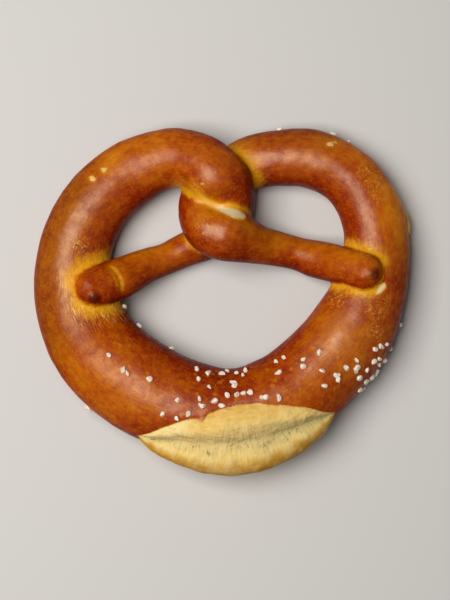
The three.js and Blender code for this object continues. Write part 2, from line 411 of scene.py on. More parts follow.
def places_of(bm):
    """Each vertex's place in millimetres."""
    return np.array([v.co for v in bm.verts]) * 1000


def object_from(bm, name, material):
    """A smooth-shaded object from a bmesh, at the origin."""
    mesh = bpy.data.meshes.new(name)
    bm.to_mesh(mesh)
    bm.free()
    mesh.shade_smooth()
    mesh.materials.append(material)
    obj = bpy.data.objects.new(name, mesh)
    bpy.context.scene.collection.objects.link(obj)
    return obj


def swept_dough():
    """The rope as one closed sheet, rolled round its route, that keeps each vertex's place on the rope."""
    turns = np.linspace(0, math.pi / 2, CAP_STEPS + 1)[1:]
    first = rope_at(np.array([ROPE_START]))["half"][0]
    last = rope_at(np.array([ROPE_END]))["half"][0]
    body = np.linspace(ROPE_START, ROPE_END, int((ROPE_END - ROPE_START) / ALONG_STEP) + 1)
    left_cap = ROPE_START - first * np.sin(turns)[::-1]
    right_cap = ROPE_END + last * np.sin(turns)
    lengths = np.concatenate([left_cap, body, right_cap])
    angles = np.linspace(-180, 180, AROUND_STEPS + 1)
    bm = bmesh.new()
    bmesh.ops.create_grid(bm, x_segments=len(lengths) - 1, y_segments=AROUND_STEPS, size=1)
    corners = np.array([(v.co.x + 1, v.co.y + 1) for v in bm.verts]) / 2
    columns = (corners[:, 0] * (len(lengths) - 1)).round().astype(int)
    rows = (corners[:, 1] * AROUND_STEPS).round().astype(int)
    along = lengths[columns]
    angle = angles[rows]
    edge_walk = np.column_stack([lengths, np.zeros(len(lengths)), np.zeros(len(lengths))])
    wander = GROOVE_WANDER * rough(edge_walk, 9, 3, 4)[columns]
    places = metres(skin(along, angle, wander))
    along_layer = bm.verts.layers.float.new("along")
    angle_layer = bm.verts.layers.float.new("angle")
    for vert, place, length, degrees in zip(bm.verts, places, along, angle):
        vert.co = place
        vert[along_layer] = length
        vert[angle_layer] = degrees
    return bm


def fused(bm, name):
    """The same dough with its crossing strands grown together, as an evenly meshed bmesh."""
    bmesh.ops.remove_doubles(bm, verts=bm.verts, dist=1e-6)
    bmesh.ops.recalc_face_normals(bm, faces=bm.faces)
    mesh = bpy.data.meshes.new(name)
    bm.to_mesh(mesh)
    obj = bpy.data.objects.new(name, mesh)
    bpy.context.scene.collection.objects.link(obj)
    remesh = obj.modifiers.new("grown together", "REMESH")
    remesh.mode = "VOXEL"
    remesh.voxel_size = DOUGH_GRAIN * 0.001
    remesh.adaptivity = 0
    ready = obj.evaluated_get(bpy.context.evaluated_depsgraph_get())
    out = bmesh.new()
    out.from_mesh(ready.to_mesh())
    ready.to_mesh_clear()
    bpy.data.objects.remove(obj)
    bpy.data.meshes.remove(mesh)
    drop_bubbles(out)
    return out


def drop_bubbles(bm):
    """Takes away the tiny closed bubbles that are left inside the dough where two strands meet."""
    top = max(bm.verts, key=lambda v: v.co.z)
    outside = {top}
    rim = [top]
    while rim:
        vert = rim.pop()
        beside = [edge.other_vert(vert) for edge in vert.link_edges]
        found = [other for other in beside if other not in outside]
        outside.update(found)
        rim.extend(found)
    bmesh.ops.delete(bm, geom=[v for v in bm.verts if v not in outside], context="VERTS")


def places_on_rope(verts, sheet):
    """Each vertex's length along the rope and angle round it, read from the sheet's nearest skin."""
    tree = BVHTree.FromBMesh(sheet)
    sheet.faces.ensure_lookup_table()
    along_layer = sheet.verts.layers.float["along"]
    angle_layer = sheet.verts.layers.float["angle"]
    found = np.zeros((len(verts), 2))
    for i, vert in enumerate(verts):
        spot, _, index, _ = tree.find_nearest(vert.co)
        corners = sheet.faces[index].verts
        weights = poly_3d_calc([c.co for c in corners], spot)
        found[i, 0] = sum(w * c[along_layer] for w, c in zip(weights, corners))
        found[i, 1] = sum(w * c[angle_layer] for w, c in zip(weights, corners))
    return found[:, 0], found[:, 1]


def crease_distance(points, along):
    """How far each point is from the next strand of dough, in millimetres, up to CREASE_REACH."""
    body = np.arange(ROPE_START - 6, ROPE_END + 6, 1.5)
    turns = np.arange(-180, 180, 6)
    other_along = np.repeat(body, len(turns))
    others = skin(other_along, np.tile(turns, len(body)))
    distance = np.full(len(points), CREASE_REACH)
    half_piece = CREASE_PIECE // 2
    for start in range(int(ROPE_START) - half_piece, int(ROPE_END) + half_piece, CREASE_PIECE):
        mine = np.nonzero((along >= start) & (along < start + CREASE_PIECE))[0]
        if len(mine) == 0:
            continue
        low = points[mine].min(axis=0) - CREASE_REACH
        high = points[mine].max(axis=0) + CREASE_REACH
        far = np.abs(other_along - (start + half_piece)) > OWN_STRAND
        near = far & (others > low).all(axis=1) & (others < high).all(axis=1)
        if not near.any():
            continue
        rivals = others[near].astype(np.float32)
        for chunk in np.array_split(mine, max(1, len(mine) * len(rivals) // MOST_PAIRS)):
            gap = points[chunk][:, None, :].astype(np.float32) - rivals[None, :, :]
            distance[chunk] = np.minimum(distance[chunk], np.sqrt((gap**2).sum(axis=2).min(axis=1)))
    return distance


def tidy_creases(bm, along, distance):
    """Softens the creases where strands meet, most of all on top of the knot, as risen dough does."""
    heights = places_of(bm)[:, 2]
    reach = np.abs(along)
    everywhere = np.ones(len(along), bool)
    on_knot = (reach > KNOT["from"]) & (reach < KNOT["to"]) & (heights > KNOT["top"])
    for (nearness, rounds), where in ((CREASE_SOFTENED, everywhere), (KNOT_SOFTENED, on_knot)):
        soft = [v for v, near in zip(bm.verts, (distance < nearness) & where) if near]
        for _ in range(rounds):
            soften(bm, soft)


def soften(bm, verts):
    """Moves vertices half way to the middle of their neighbours."""
    bmesh.ops.smooth_vert(bm, verts=verts, factor=0.5, use_axis_x=True, use_axis_y=True, use_axis_z=True)


def bump_along_normals(bm, amount):
    """Moves every vertex along its normal by an amount in millimetres, never below the tray."""
    bm.normal_update()
    for vert, rise in zip(bm.verts, amount):
        vert.co += vert.normal * float(rise) * 0.001
        vert.co.z = max(vert.co.z, 0)


def burst_fields(along, angle, unrolled):
    """How far inside the burst's ragged opening a place is, in millimetres, and how far up its lips."""
    share, _, groove, low, top = burst_at(along)
    half_length = (BURST["to"] - BURST["from"]) / 2
    notch = NOTCH["depth"] * hump(along - NOTCH["along"], NOTCH["half"])
    inside = np.minimum((top - angle) * MM_PER_DEGREE - notch, (angle - low) * MM_PER_DEGREE)
    inside = np.minimum(inside, (1 - np.abs(share)) * half_length * 0.8)
    ragged = 0.35 * rough(unrolled, 5, 3, 1) + 0.12 * rough(unrolled, 1.8, 2, 2)
    fold = np.where(angle > groove, (angle - groove) / np.maximum(top - groove, 4), 0)
    fold = np.where(angle < groove, (angle - groove) / np.maximum(groove - low, 4), fold)
    return inside + ragged, np.clip(fold, -1.5, 1.5)


def tear_field(along, angle, unrolled):
    """How far inside the low tear's ragged outline a place is, in millimetres."""
    way = np.clip((along - TEAR["from"]) / (TEAR["to"] - TEAR["from"]), 0, 1)
    half = TEAR["half"] * np.minimum(way / 0.1, 1) ** 0.5 * (1 - way) ** 0.5 - 3
    inside = (half - np.abs(angle - TEAR["angle"])) * MM_PER_DEGREE
    return np.clip(inside + 2.0 * rough(unrolled, 5, 4, 3), -6, 6)


def fleck_field(points):
    """How far inside a ragged blister a place is, in millimetres, and well below nought elsewhere."""
    inside = np.maximum.reduce([size - gap_to(points, (x, y)) for x, y, size in FLECKS])
    on_top = np.where(points[:, 2] > 12, np.maximum(inside, -6), -6)
    return on_top + 1.1 * rough(points, 1.9, 3, 5)


def crack_field(points):
    """How much of its fine golden cracks the crust has at a place."""
    near = np.maximum.reduce([hump(gap_to(points, (x, y)), reach) for x, y, reach in CRACKED])
    return np.where(points[:, 2] > 10, near, 0)


def salted_field(along, angle):
    """Where salt lies or has fallen off: 1 inside a patch, fading to nought round it."""
    salted = np.zeros(len(along))
    for start, end, low, high, _ in SALT:
        lengthwise = between(along, start - 6, start, end, end + 6)
        crosswise = between(angle, low - 22, low, high, high + 22)
        salted = np.maximum(salted, lengthwise * crosswise)
    return salted


def dough_fields(bm, sheet):
    """What the finish of crust and crumb follows, one value or one place for each vertex."""
    along, angle = places_on_rope(bm.verts, sheet)
    points = places_of(bm)
    turn = np.radians(angle)
    unrolled = np.column_stack([along, ROPE_RADIUS * np.cos(turn), ROPE_RADIUS * np.sin(turn)])
    crumb, fold = burst_fields(along, angle, unrolled)
    return {
        "along": along,
        "angle": angle,
        "unrolled": unrolled,
        "crease": crease_distance(points, along) * 6 / halo_reach(along),
        "crumb": crumb,
        "fold": fold,
        "tear": tear_field(along, angle, unrolled),
        "fleck": fleck_field(points),
        "salted": salted_field(along, angle),
        "cracked": crack_field(points),
        "combed": combed_share(along),
        "seam": strip_at(points, SEAM_MIDDLE, SEAM_HALF, SEAM_WAY),
        "tail": seam_tail(points, TAIL),
        "stretch": seam_tail(points, STRETCH),
        "scar": strip_at(points, SCAR["middle"], SCAR["half"], SCAR["way"]),
        "neck": neck_lines(points),
    }


def gap_to(points, place):
    """How far points are, seen from above, from a place in the stations' coordinates."""
    return np.hypot(points[:, 0] - place[0] + BOX_MIDDLE[0], points[:, 1] - place[1] + BOX_MIDDLE[1])


def gap_to_nub(points, nub):
    """How far points are from the dried end of an arm."""
    x, y, z = nub
    return np.linalg.norm(points - np.array([x - BOX_MIDDLE[0], y - BOX_MIDDLE[1], z]), axis=1)


def halo_reach(along):
    """How far the golden halo of a crease reaches into each strand, in millimetres."""
    arm = smoothstep(236, 244, np.abs(along))
    knot = smoothstep(186, 196, np.abs(along)) * (1 - arm)
    right_ring = between(along, 60, 70, 115, 125)
    return 6.0 - 4.2 * arm - 3.6 * knot - 1.4 * right_ring


def combed_share(along):
    """How strongly the crust was combed into golden threads beside an arm: most below the left arm's tip."""
    below = between(along, -104, -94, -60, -40)
    ring = smoothstep(190, 176, np.abs(along))
    return ring * (0.25 + 0.75 * below)


def in_strip(points, middle, way):
    """Places along and across a strip that lies on the top of the crust."""
    offset = points[:, :2] + BOX_MIDDLE - np.array(middle)
    lengthwise = offset @ np.array([math.cos(way), math.sin(way)])
    crosswise = offset @ np.array([-math.sin(way), math.cos(way)])
    return lengthwise, crosswise


def strip_at(points, middle, half, way):
    """A leaf-shaped patch on top, fuller at its right end, from 0 outside to 1 inside."""
    lengthwise, crosswise = in_strip(points, middle, way)
    share = np.clip(lengthwise / half[0], -1, 1)
    leaf = half[1] * np.sqrt(1 - share**2) * (1 + 0.35 * share)
    inside = leaf - np.abs(crosswise) - 2 * np.clip(np.abs(lengthwise) - half[0], 0, 1)
    inside += 0.25 * rough(points, 1.5, 3, 15)
    return np.where(points[:, 2] > 16, np.clip(0.5 + inside * 0.7, 0, 1), 0)


def seam_tail(points, tail):
    """A band into which the knot's seam runs out to the left, bent where it leaves the seam."""
    lengthwise, crosswise = in_strip(points, SEAM_MIDDLE, SEAM_WAY)
    crosswise = crosswise - 0.02 * (lengthwise + 4) ** 2 * (lengthwise < -4)
    band = hump(crosswise, tail["half"])
    band *= between(lengthwise, tail["from"] - 4, tail["from"] + 4, tail["to"] - 3, tail["to"] + 3)
    return np.where(points[:, 2] > 14, band, 0)


def neck_lines(points):
    """A golden stretch line round the neck of the left arm's tip, with a fainter one inside it."""
    gap = gap_to(points, TIP_MIDDLE) - NECK_RADIUS + 0.35 * rough(points, 4, 2, 16)
    offset = points[:, :2] + BOX_MIDDLE - np.array(TIP_MIDDLE)
    near = between(np.arctan2(offset[:, 1], offset[:, 0]), -0.35, 0.1, 0.8, 1.25)
    lines = hump(gap, 0.8) + 0.5 * hump(gap + 2, 0.4)
    return np.where(points[:, 2] > 14, near * np.clip(lines, 0, 1), 0)


def browning_and_painted_light(points, fields):
    """How dark and red the crust has baked, from 0 golden to 1 darkest, with painted shade down the flanks
    and underside and painted light in some patches.
    """
    along = fields["along"]
    inner = -np.cos(np.radians(fields["angle"]))
    up = np.sin(np.radians(fields["angle"]))
    outer = np.clip(-inner, 0, 1)
    reach = np.abs(along)
    ring = between(reach, 60, 90, 170, 190)
    knot = between(reach, 182, 192, 232, 240)
    arm = smoothstep(232, 246, reach)
    tone = 0.55 + ring * 0.18 * inner - knot * 0.22 * inner - arm * (0.24 * inner + 0.03)
    # The outer side's baked colour, and painted light on the right ring's outer side
    for start, full, fade, end, darker in OUTER_BAKED_AND_PAINTED_LIGHT:
        tone += darker * outer * between(along, start, full, fade, end)
    tone += 0.05 * between(along, 66, 90, 176, 190)
    tone += 0.08 * smoothstep(46, 26, reach) + 0.14 * smoothstep(-262, -274, along)
    tone += 0.15 * rough(points, 26, 2, 6) + 0.08 * rough(points, 9, 2, 7)
    tone -= 0.05 * np.clip(up, 0, 1)
    # Patches of baked colour, and painted highlights and painted light, as listed
    for x, y, spread, darker in BAKED_AND_PAINTED_LIGHT:
        tone += darker * hump(gap_to(points, (x, y)), spread)
    # Painted shade: darker down the flanks and more on the underside, where the light falls off
    tone += 0.2 * smoothstep(0.75, 0.2, up) + 0.1 * smoothstep(0.1, -0.5, up)
    return tone


def shading(fields):
    """How light the crust is at the same hue, as painted light and shade: below 1 it is duller, on the left
    ring's upper outer side where the lamp lights it strongly and on the top right's outer side; above 1 it
    is brighter, on the right ring's outer side, which the lamp leaves in shade.
    """
    along = fields["along"]
    outer = np.clip(np.cos(np.radians(fields["angle"])), 0, 1)
    upper_outer = np.clip(np.cos(np.radians(fields["angle"] - 30)), 0, 1)
    left_side = between(along, -152, -132, -85, -60)
    top_right = between(along, 138, 158, 176, 190)
    right_side = between(along, 98, 110, 136, 148)
    return 1 - 0.36 * upper_outer * left_side - 0.25 * outer * top_right + 0.4 * outer * right_side


def shape_dough():
    """The whole baked dough: fused, softened, and dented with small waves, wrinkles and torn crumb."""
    sheet = swept_dough()
    bm = fused(sheet.copy(), "risen dough")
    along, _ = places_on_rope(bm.verts, sheet)
    points = places_of(bm)
    tidy_creases(bm, along, crease_distance(points, along))
    soften(bm, bm.verts)
    fields = dough_fields(bm, sheet)
    sheet.free()
    points = places_of(bm)
    torn = smoothstep(-0.2, 1.2, fields["crumb"])
    foot = smoothstep(-0.4, 1.5, fields["tear"])
    upright = smoothstep(1, 5, points[:, 2])
    amount = 0.35 * rough(points, 15, 2, 8) + 0.1 * rough(points, 5, 2, 9)
    fibres = fields["unrolled"] * np.array([1.0, 0.45, 0.45])
    amount += torn * (0.12 * rough(fibres, 2.2, 3, 10) + 0.3 * rough(points, 7, 2, 11))
    amount -= 0.35 * hump(fields["crumb"], 0.7) * smoothstep(0.0, 0.3, np.abs(fields["fold"]))
    amount += foot * (0.5 + 0.8 * rough(points, 2.6, 3, 12))
    amount += 0.25 * smoothstep(0.2, 1.2, fields["fleck"])
    for nub in NUBS:
        gap = gap_to_nub(points, nub)
        swirl = np.sin(gap * 2.6 + 2 * np.arctan2(points[:, 1] - nub[1], points[:, 0] - nub[0]))
        amount += 0.7 * hump(gap, 1.9) - 0.45 * hump(gap - 3.4, 1.0)
        amount += 0.22 * swirl * hump(gap, 3.2)
    neck = hump(gap_to(points, TIP_MIDDLE) - NECK_RADIUS, 2.2) * smoothstep(-256, -262, fields["along"])
    amount -= 0.3 * fields["neck"] + 0.5 * neck
    bump_along_normals(bm, amount * upright)
    bumped = places_of(bm)
    # The crust's baked colour with painted shade and light, and its painted light and shade scale
    fields["brown_and_painted_light"] = browning_and_painted_light(points, fields)
    fields["shade"] = shading(fields)
    fields["gloss"] = np.interp(fields["along"], *zip(*GLOSS))
    fields["nub"] = np.maximum.reduce([hump(gap_to_nub(bumped, nub), 2.6) for nub in NUBS])
    fields["unrolled"] = metres(fields["unrolled"])
    return bm, fields


def store(mesh, name, values):
    """Keeps a value, or a row of three, for each vertex."""
    kind = "FLOAT" if values.ndim == 1 else "FLOAT_VECTOR"
    field = "value" if values.ndim == 1 else "vector"
    layer = mesh.attributes.new(name, kind, "POINT")
    layer.data.foreach_set(field, values.astype(np.float32).ravel())


def draws(seed):
    """Even random numbers from 0 to 1, the same on each run."""
    state = seed
    while True:
        state = state * 16807 % 2147483647
        yield state / 2147483647


def chipped_grain(draw, size):
    """One coarse salt grain: a round block with flats broken off it, centred on the origin."""
    grain = bmesh.new()
    bmesh.ops.create_icosphere(grain, subdivisions=2, radius=size / 2)
    for _ in range(SALT_FLATS):
        lean = Vector((next(draw) - 0.5, next(draw) - 0.5, next(draw) - 0.5)).normalized()
        depth = size * (0.24 + 0.2 * next(draw))
        cut = bmesh.ops.bisect_plane(
            grain,
            geom=grain.verts[:] + grain.edges[:] + grain.faces[:],
            plane_co=lean * depth,
            plane_no=lean,
            clear_outer=True,
        )
        rim = [e for e in cut["geom_cut"] if isinstance(e, bmesh.types.BMEdge)]
        bmesh.ops.holes_fill(grain, edges=rim, sides=0)
    bmesh.ops.triangulate(grain, faces=[f for f in grain.faces if len(f.verts) > 4])
    return grain


def salt(dough_tree):
    """All the salt grains as one bmesh, each pressed into the crust where the solid has it."""
    draw = draws(SALT_SEED)
    chips = draws(SALT_SEED + 1)
    grains = bmesh.new()
    for start, end, low, high, count in SALT:
        for i in range(count):
            along = start + (end - start) * ((i + next(draw)) / count)
            angle = low + (high - low) * next(draw)
            size = SALT_SIZE[0] + (SALT_SIZE[1] - SALT_SIZE[0]) * next(draw)
            tilt = next(draw) * math.pi
            roll = next(draw) * math.pi
            flatness = 0.7 + 0.25 * next(draw)
            spin = next(draw) * math.pi * 2
            on_skin = Vector(metres(skin(np.array([along]), np.array([angle]))[0]))
            spot, up, _, _ = dough_tree.find_nearest(on_skin)
            grain = chipped_grain(chips, size * 0.001)
            bmesh.ops.rotate(grain, verts=grain.verts, matrix=Matrix.Rotation(tilt, 3, "X"))
            bmesh.ops.rotate(grain, verts=grain.verts, matrix=Matrix.Rotation(roll, 3, "Z"))
            bmesh.ops.scale(grain, verts=grain.verts, vec=(1.12, flatness, 0.78))
            bmesh.ops.rotate(grain, verts=grain.verts, matrix=Matrix.Rotation(spin, 3, "Z"))
            lie = up.to_track_quat("Z", "Y").to_matrix()
            bmesh.ops.rotate(grain, verts=grain.verts, matrix=lie)
            rise = size * 0.001 * (0.375 - SALT_SUNK)
            bmesh.ops.translate(grain, verts=grain.verts, vec=spot + up * rise)
            piece = bpy.data.meshes.new("grain")
            grain.to_mesh(piece)
            grains.from_mesh(piece)
            bpy.data.meshes.remove(piece)
            grain.free()
    return grains


class Finish:
    """A procedural material that is built up node by node."""

    def __init__(self, name):
        self.material = bpy.data.materials.new(name)
        self.material.use_nodes = True
        self.nodes = self.material.node_tree.nodes
        self.links = self.material.node_tree.links
        self.shader = self.nodes["Principled BSDF"]

    def feed(self, socket, value):
        """Links another node's output to a socket, or sets the value on it."""
        if isinstance(value, bpy.types.NodeSocket):
            self.links.new(value, socket)
        else:
            socket.default_value = value

    def node(self, kind, settings=None, inputs=None):
        """A node with its settings made and its inputs fed."""
        made = self.nodes.new(kind)
        for key, value in (settings or {}).items():
            setattr(made, key, value)
        for key, value in (inputs or {}).items():
            self.feed(made.inputs[key], value)
        return made

    def field(self, name):
        """A value kept on the mesh."""
        return self.node("ShaderNodeAttribute", {"attribute_name": name}).outputs["Fac"]

    def place(self):
        """Places in the part's own coordinates."""
        return self.node("ShaderNodeTexCoord").outputs["Object"]

    def unrolled(self, stretch):
        """Places along and round the rope, squeezed so that a pattern lies along it."""
        rope = self.node("ShaderNodeAttribute", {"attribute_name": "unrolled"}).outputs["Vector"]
        return self.node("ShaderNodeMapping", None, {"Vector": rope, "Scale": stretch}).outputs["Vector"]

    def grain(self, where, scale, detail=3.0, rough=0.55):
        """Cloudy noise."""
        inputs = {"Vector": where, "Scale": scale, "Detail": detail, "Roughness": rough}
        return self.node("ShaderNodeTexNoise", None, inputs).outputs["Fac"]

    def spots(self, where, scale):
        """The distance from the nearest of many scattered spots."""
        return self.node("ShaderNodeTexVoronoi", None, {"Vector": where, "Scale": scale}).outputs["Distance"]

    def sum(self, a, b, how="ADD"):
        """Two values taken together."""
        made = self.node("ShaderNodeMath", {"operation": how})
        self.feed(made.inputs[0], a)
        self.feed(made.inputs[1], b)
        return made.outputs[0]

    def times(self, a, b):
        return self.sum(a, b, "MULTIPLY")

    def ramp(self, value, low, high, to_low=0.0, to_high=1.0):
        """A soft step of a value from low to high."""
        settings = {"interpolation_type": "SMOOTHSTEP"}
        inputs = {"Value": value, "From Min": low, "From Max": high, "To Min": to_low, "To Max": to_high}
        return self.node("ShaderNodeMapRange", settings, inputs).outputs["Result"]

    def colours(self, value, stops):
        """A colour for each value, through stops of (position, colour)."""
        made = self.node("ShaderNodeValToRGB", None, {"Fac": value})
        band = made.color_ramp.elements
        while len(band) < len(stops):
            band.new(0.5)
        for stop, (position, colour) in zip(band, stops):
            stop.position = position
            stop.color = (*colour, 1)
        return made.outputs["Color"]

    def mix(self, share, under, over):
        """One colour laid over another by a share."""
        made = self.node("ShaderNodeMix", {"data_type": "RGBA"}, {"Factor": share})
        for socket, value in ((made.inputs[6], under), (made.inputs[7], over)):
            self.feed(socket, (*value, 1) if isinstance(value, tuple) else value)
        return made.outputs[2]

    def bump(self, height, distance, strength):
        """Fine relief, drawn by shading only."""
        inputs = {"Height": height, "Distance": distance, "Strength": strength}
        return self.node("ShaderNodeBump", None, inputs).outputs["Normal"]

    def set(self, **sockets):
        """Feeds the shader's own sockets."""
        for name, value in sockets.items():
            self.feed(self.shader.inputs[name.replace("_", " ")], value)


def baked_dough():
    """Glossy lye crust, golden in the creases, with pale torn crumb in the burst."""
    f = Finish("baked dough")
    place = f.place()
    mottles = f.grain(place, 300, 4, 0.6)
    freckles = f.grain(place, 900, 3, 0.6)
    crust, shine, gloss, crust_bump = crust_finish(f, mottles, freckles)
    crumb, crumb_bump = crumb_finish(f)

    open_edge = f.ramp(f.sum(f.field("crumb"), f.ramp(freckles, 0.2, 0.8, -0.25, 0.25)), -0.15, 0.2)
    torn_foot = f.ramp(f.sum(f.field("tear"), f.ramp(freckles, 0.2, 0.8, -0.5, 0.5)), -0.2, 0.8)
    torn = f.mix(f.ramp(mottles, 0.35, 0.65), TORN_DARK, TORN_PALE)
    colour = f.mix(torn_foot, f.mix(open_edge, crust, crumb), torn)
    bare = f.sum(open_edge, torn_foot, "MAXIMUM")
    normal = f.node("ShaderNodeMix", {"data_type": "VECTOR"}, {"Factor": bare})
    f.feed(normal.inputs[4], crust_bump)
    f.feed(normal.inputs[5], crumb_bump)
    f.set(Base_Color=colour, Roughness=f.ramp(bare, 0, 1, shine, 0.8), Normal=normal.outputs[1])
    f.set(IOR=1.58, Specular_IOR_Level=f.ramp(bare, 0, 1, gloss, 0.05), Specular_Tint=(1.0, 0.84, 0.62, 1))
    return f.material


def crust_finish(f, mottles, freckles):
    """Colour, roughness, gloss and bump of the browned crust."""
    place = f.place()
    crease = f.field("crease")
    blotches = f.grain(place, 60, 4)
    streaks = f.grain(f.unrolled((150, 700, 700)), 1, 4, 0.6)
    wisps = f.grain(f.unrolled((320, 1500, 1500)), 1, 3, 0.6)
    threads = f.grain(f.unrolled((260, 2000, 2000)), 1, 2, 0.5)

    # The crust's colour with its painted light and shade from the mesh, varied at random
    tone = f.sum(f.field("brown_and_painted_light"), f.ramp(blotches, 0.3, 0.7, -0.09, 0.09))
    tone = f.sum(tone, f.ramp(mottles, 0.3, 0.7, -0.13, 0.13))
    tone = f.sum(tone, f.ramp(streaks, 0.3, 0.7, -0.05, 0.05))
    tone = f.sum(tone, f.ramp(wisps, 0.3, 0.7, -0.06, 0.06))
    # The crust's colour scaled by the painted light and shade kept on the mesh
    crust = f.node("ShaderNodeVectorMath", {"operation": "SCALE"}, {"Scale": f.field("shade")})
    f.feed(crust.inputs[0], f.colours(tone, CRUST_STOPS))
    crust = crust.outputs[0]
    crust = f.mix(f.times(f.ramp(freckles, 0.54, 0.7), 0.4), crust, GOLDEN)

    faint = f.ramp(f.sum(crease, f.ramp(blotches, 0.2, 0.8, -2.5, 2.5)), 8.5, 1.5)
    crust = f.mix(f.times(faint, 0.45), crust, GOLDEN)
    frayed = f.sum(f.ramp(mottles, 0.2, 0.8, -1.4, 1.4), f.ramp(freckles, 0.2, 0.8, -1.6, 1.6))
    halo = f.ramp(f.sum(crease, frayed), 6.4, 0.9)
    crust = f.mix(f.times(halo, 0.9), crust, f.mix(f.ramp(wisps, 0.35, 0.65), HALO_DEEP, HALO))
    combed = f.times(f.ramp(threads, 0.53, 0.64), f.times(f.ramp(crease, 11, 4), f.field("combed")))
    crust = f.mix(f.times(combed, 0.85), crust, PALE_GOLD)
    wandering = f.sum(f.grain(warped(f, 500), 520, 1, 0.4), 0.5, "SUBTRACT")
    cracks = f.ramp(f.sum(wandering, 0.0, "ABSOLUTE"), 0.045, 0.012)
    cracks = f.times(f.times(cracks, f.ramp(freckles, 0.4, 0.55)), f.ramp(f.field("cracked"), 0.15, 0.8))
    crust = f.mix(f.times(cracks, 0.6), crust, PALE_GOLD)
    crust = marked_crust(f, crust, freckles)

    shine = f.sum(f.ramp(mottles, 0.3, 0.7, 0.27, 0.38), f.times(halo, 0.06))
    edge_on = f.node("ShaderNodeLayerWeight", None, {"Blend": 0.5}).outputs["Facing"]
    gloss = f.times(f.field("gloss"), f.ramp(halo, 0, 1, 1, 0.3))
    gloss = f.times(f.ramp(edge_on, 0.05, 0.42, 0.55, 0.03), gloss)
    relief = f.sum(f.times(mottles, 0.5), f.sum(f.times(wisps, 0.4), f.times(freckles, 0.25)))
    return crust, shine, gloss, f.bump(relief, CRUST_RELIEF, 0.6)


def marked_crust(f, crust, freckles):
    """The crust's colour with what marks single places: neck, seam, scar, dried ends, blisters and pits."""
    neck = f.times(f.field("neck"), f.ramp(freckles, 0.3, 0.6, 0.4, 1))
    crust = f.mix(f.times(neck, 0.8), crust, HALO)
    crust = f.mix(f.times(f.field("tail"), 0.8), crust, HALO)
    stretch = f.times(f.ramp(f.field("stretch"), 0.1, 0.8), f.ramp(freckles, 0.3, 0.6, 0.45, 1))
    crust = f.mix(stretch, crust, PALE_GOLD)
    crust = f.mix(f.ramp(f.field("seam"), 0.05, 0.4), crust, PALE_GOLD)
    seam = f.sum(f.field("seam"), f.ramp(freckles, 0.2, 0.8, -0.15, 0.15))
    crust = f.mix(f.ramp(seam, 0.45, 0.9), crust, SEAM)
    crust = f.mix(f.ramp(f.field("scar"), 0.0, 0.4), crust, PALE_GOLD)
    crust = f.mix(f.ramp(f.field("scar"), 0.4, 0.9), crust, SEAM)
    crust = f.mix(f.times(f.ramp(f.field("nub"), 0.1, 0.8), 0.85), crust, SCORCHED)
    crust = f.mix(f.times(f.ramp(f.field("fleck"), -2.2, 0.6), 0.5), crust, GOLDEN)
    crust = f.mix(f.times(f.ramp(f.field("fleck"), -0.2, 0.9), 0.85), crust, BLISTER)
    pits = f.sum(f.spots(warped(f, 700), 230), f.ramp(freckles, 0.2, 0.8, -0.08, 0.08))
    lost_salt = f.times(f.ramp(pits, 0.26, 0.16), f.ramp(f.field("salted"), 0.4, 0.9))
    crust = f.mix(f.times(lost_salt, 0.55), crust, GOLDEN)
    return f.mix(f.times(f.ramp(place_height(f), 0.0012, 0.0002), 0.6), crust, BASE)


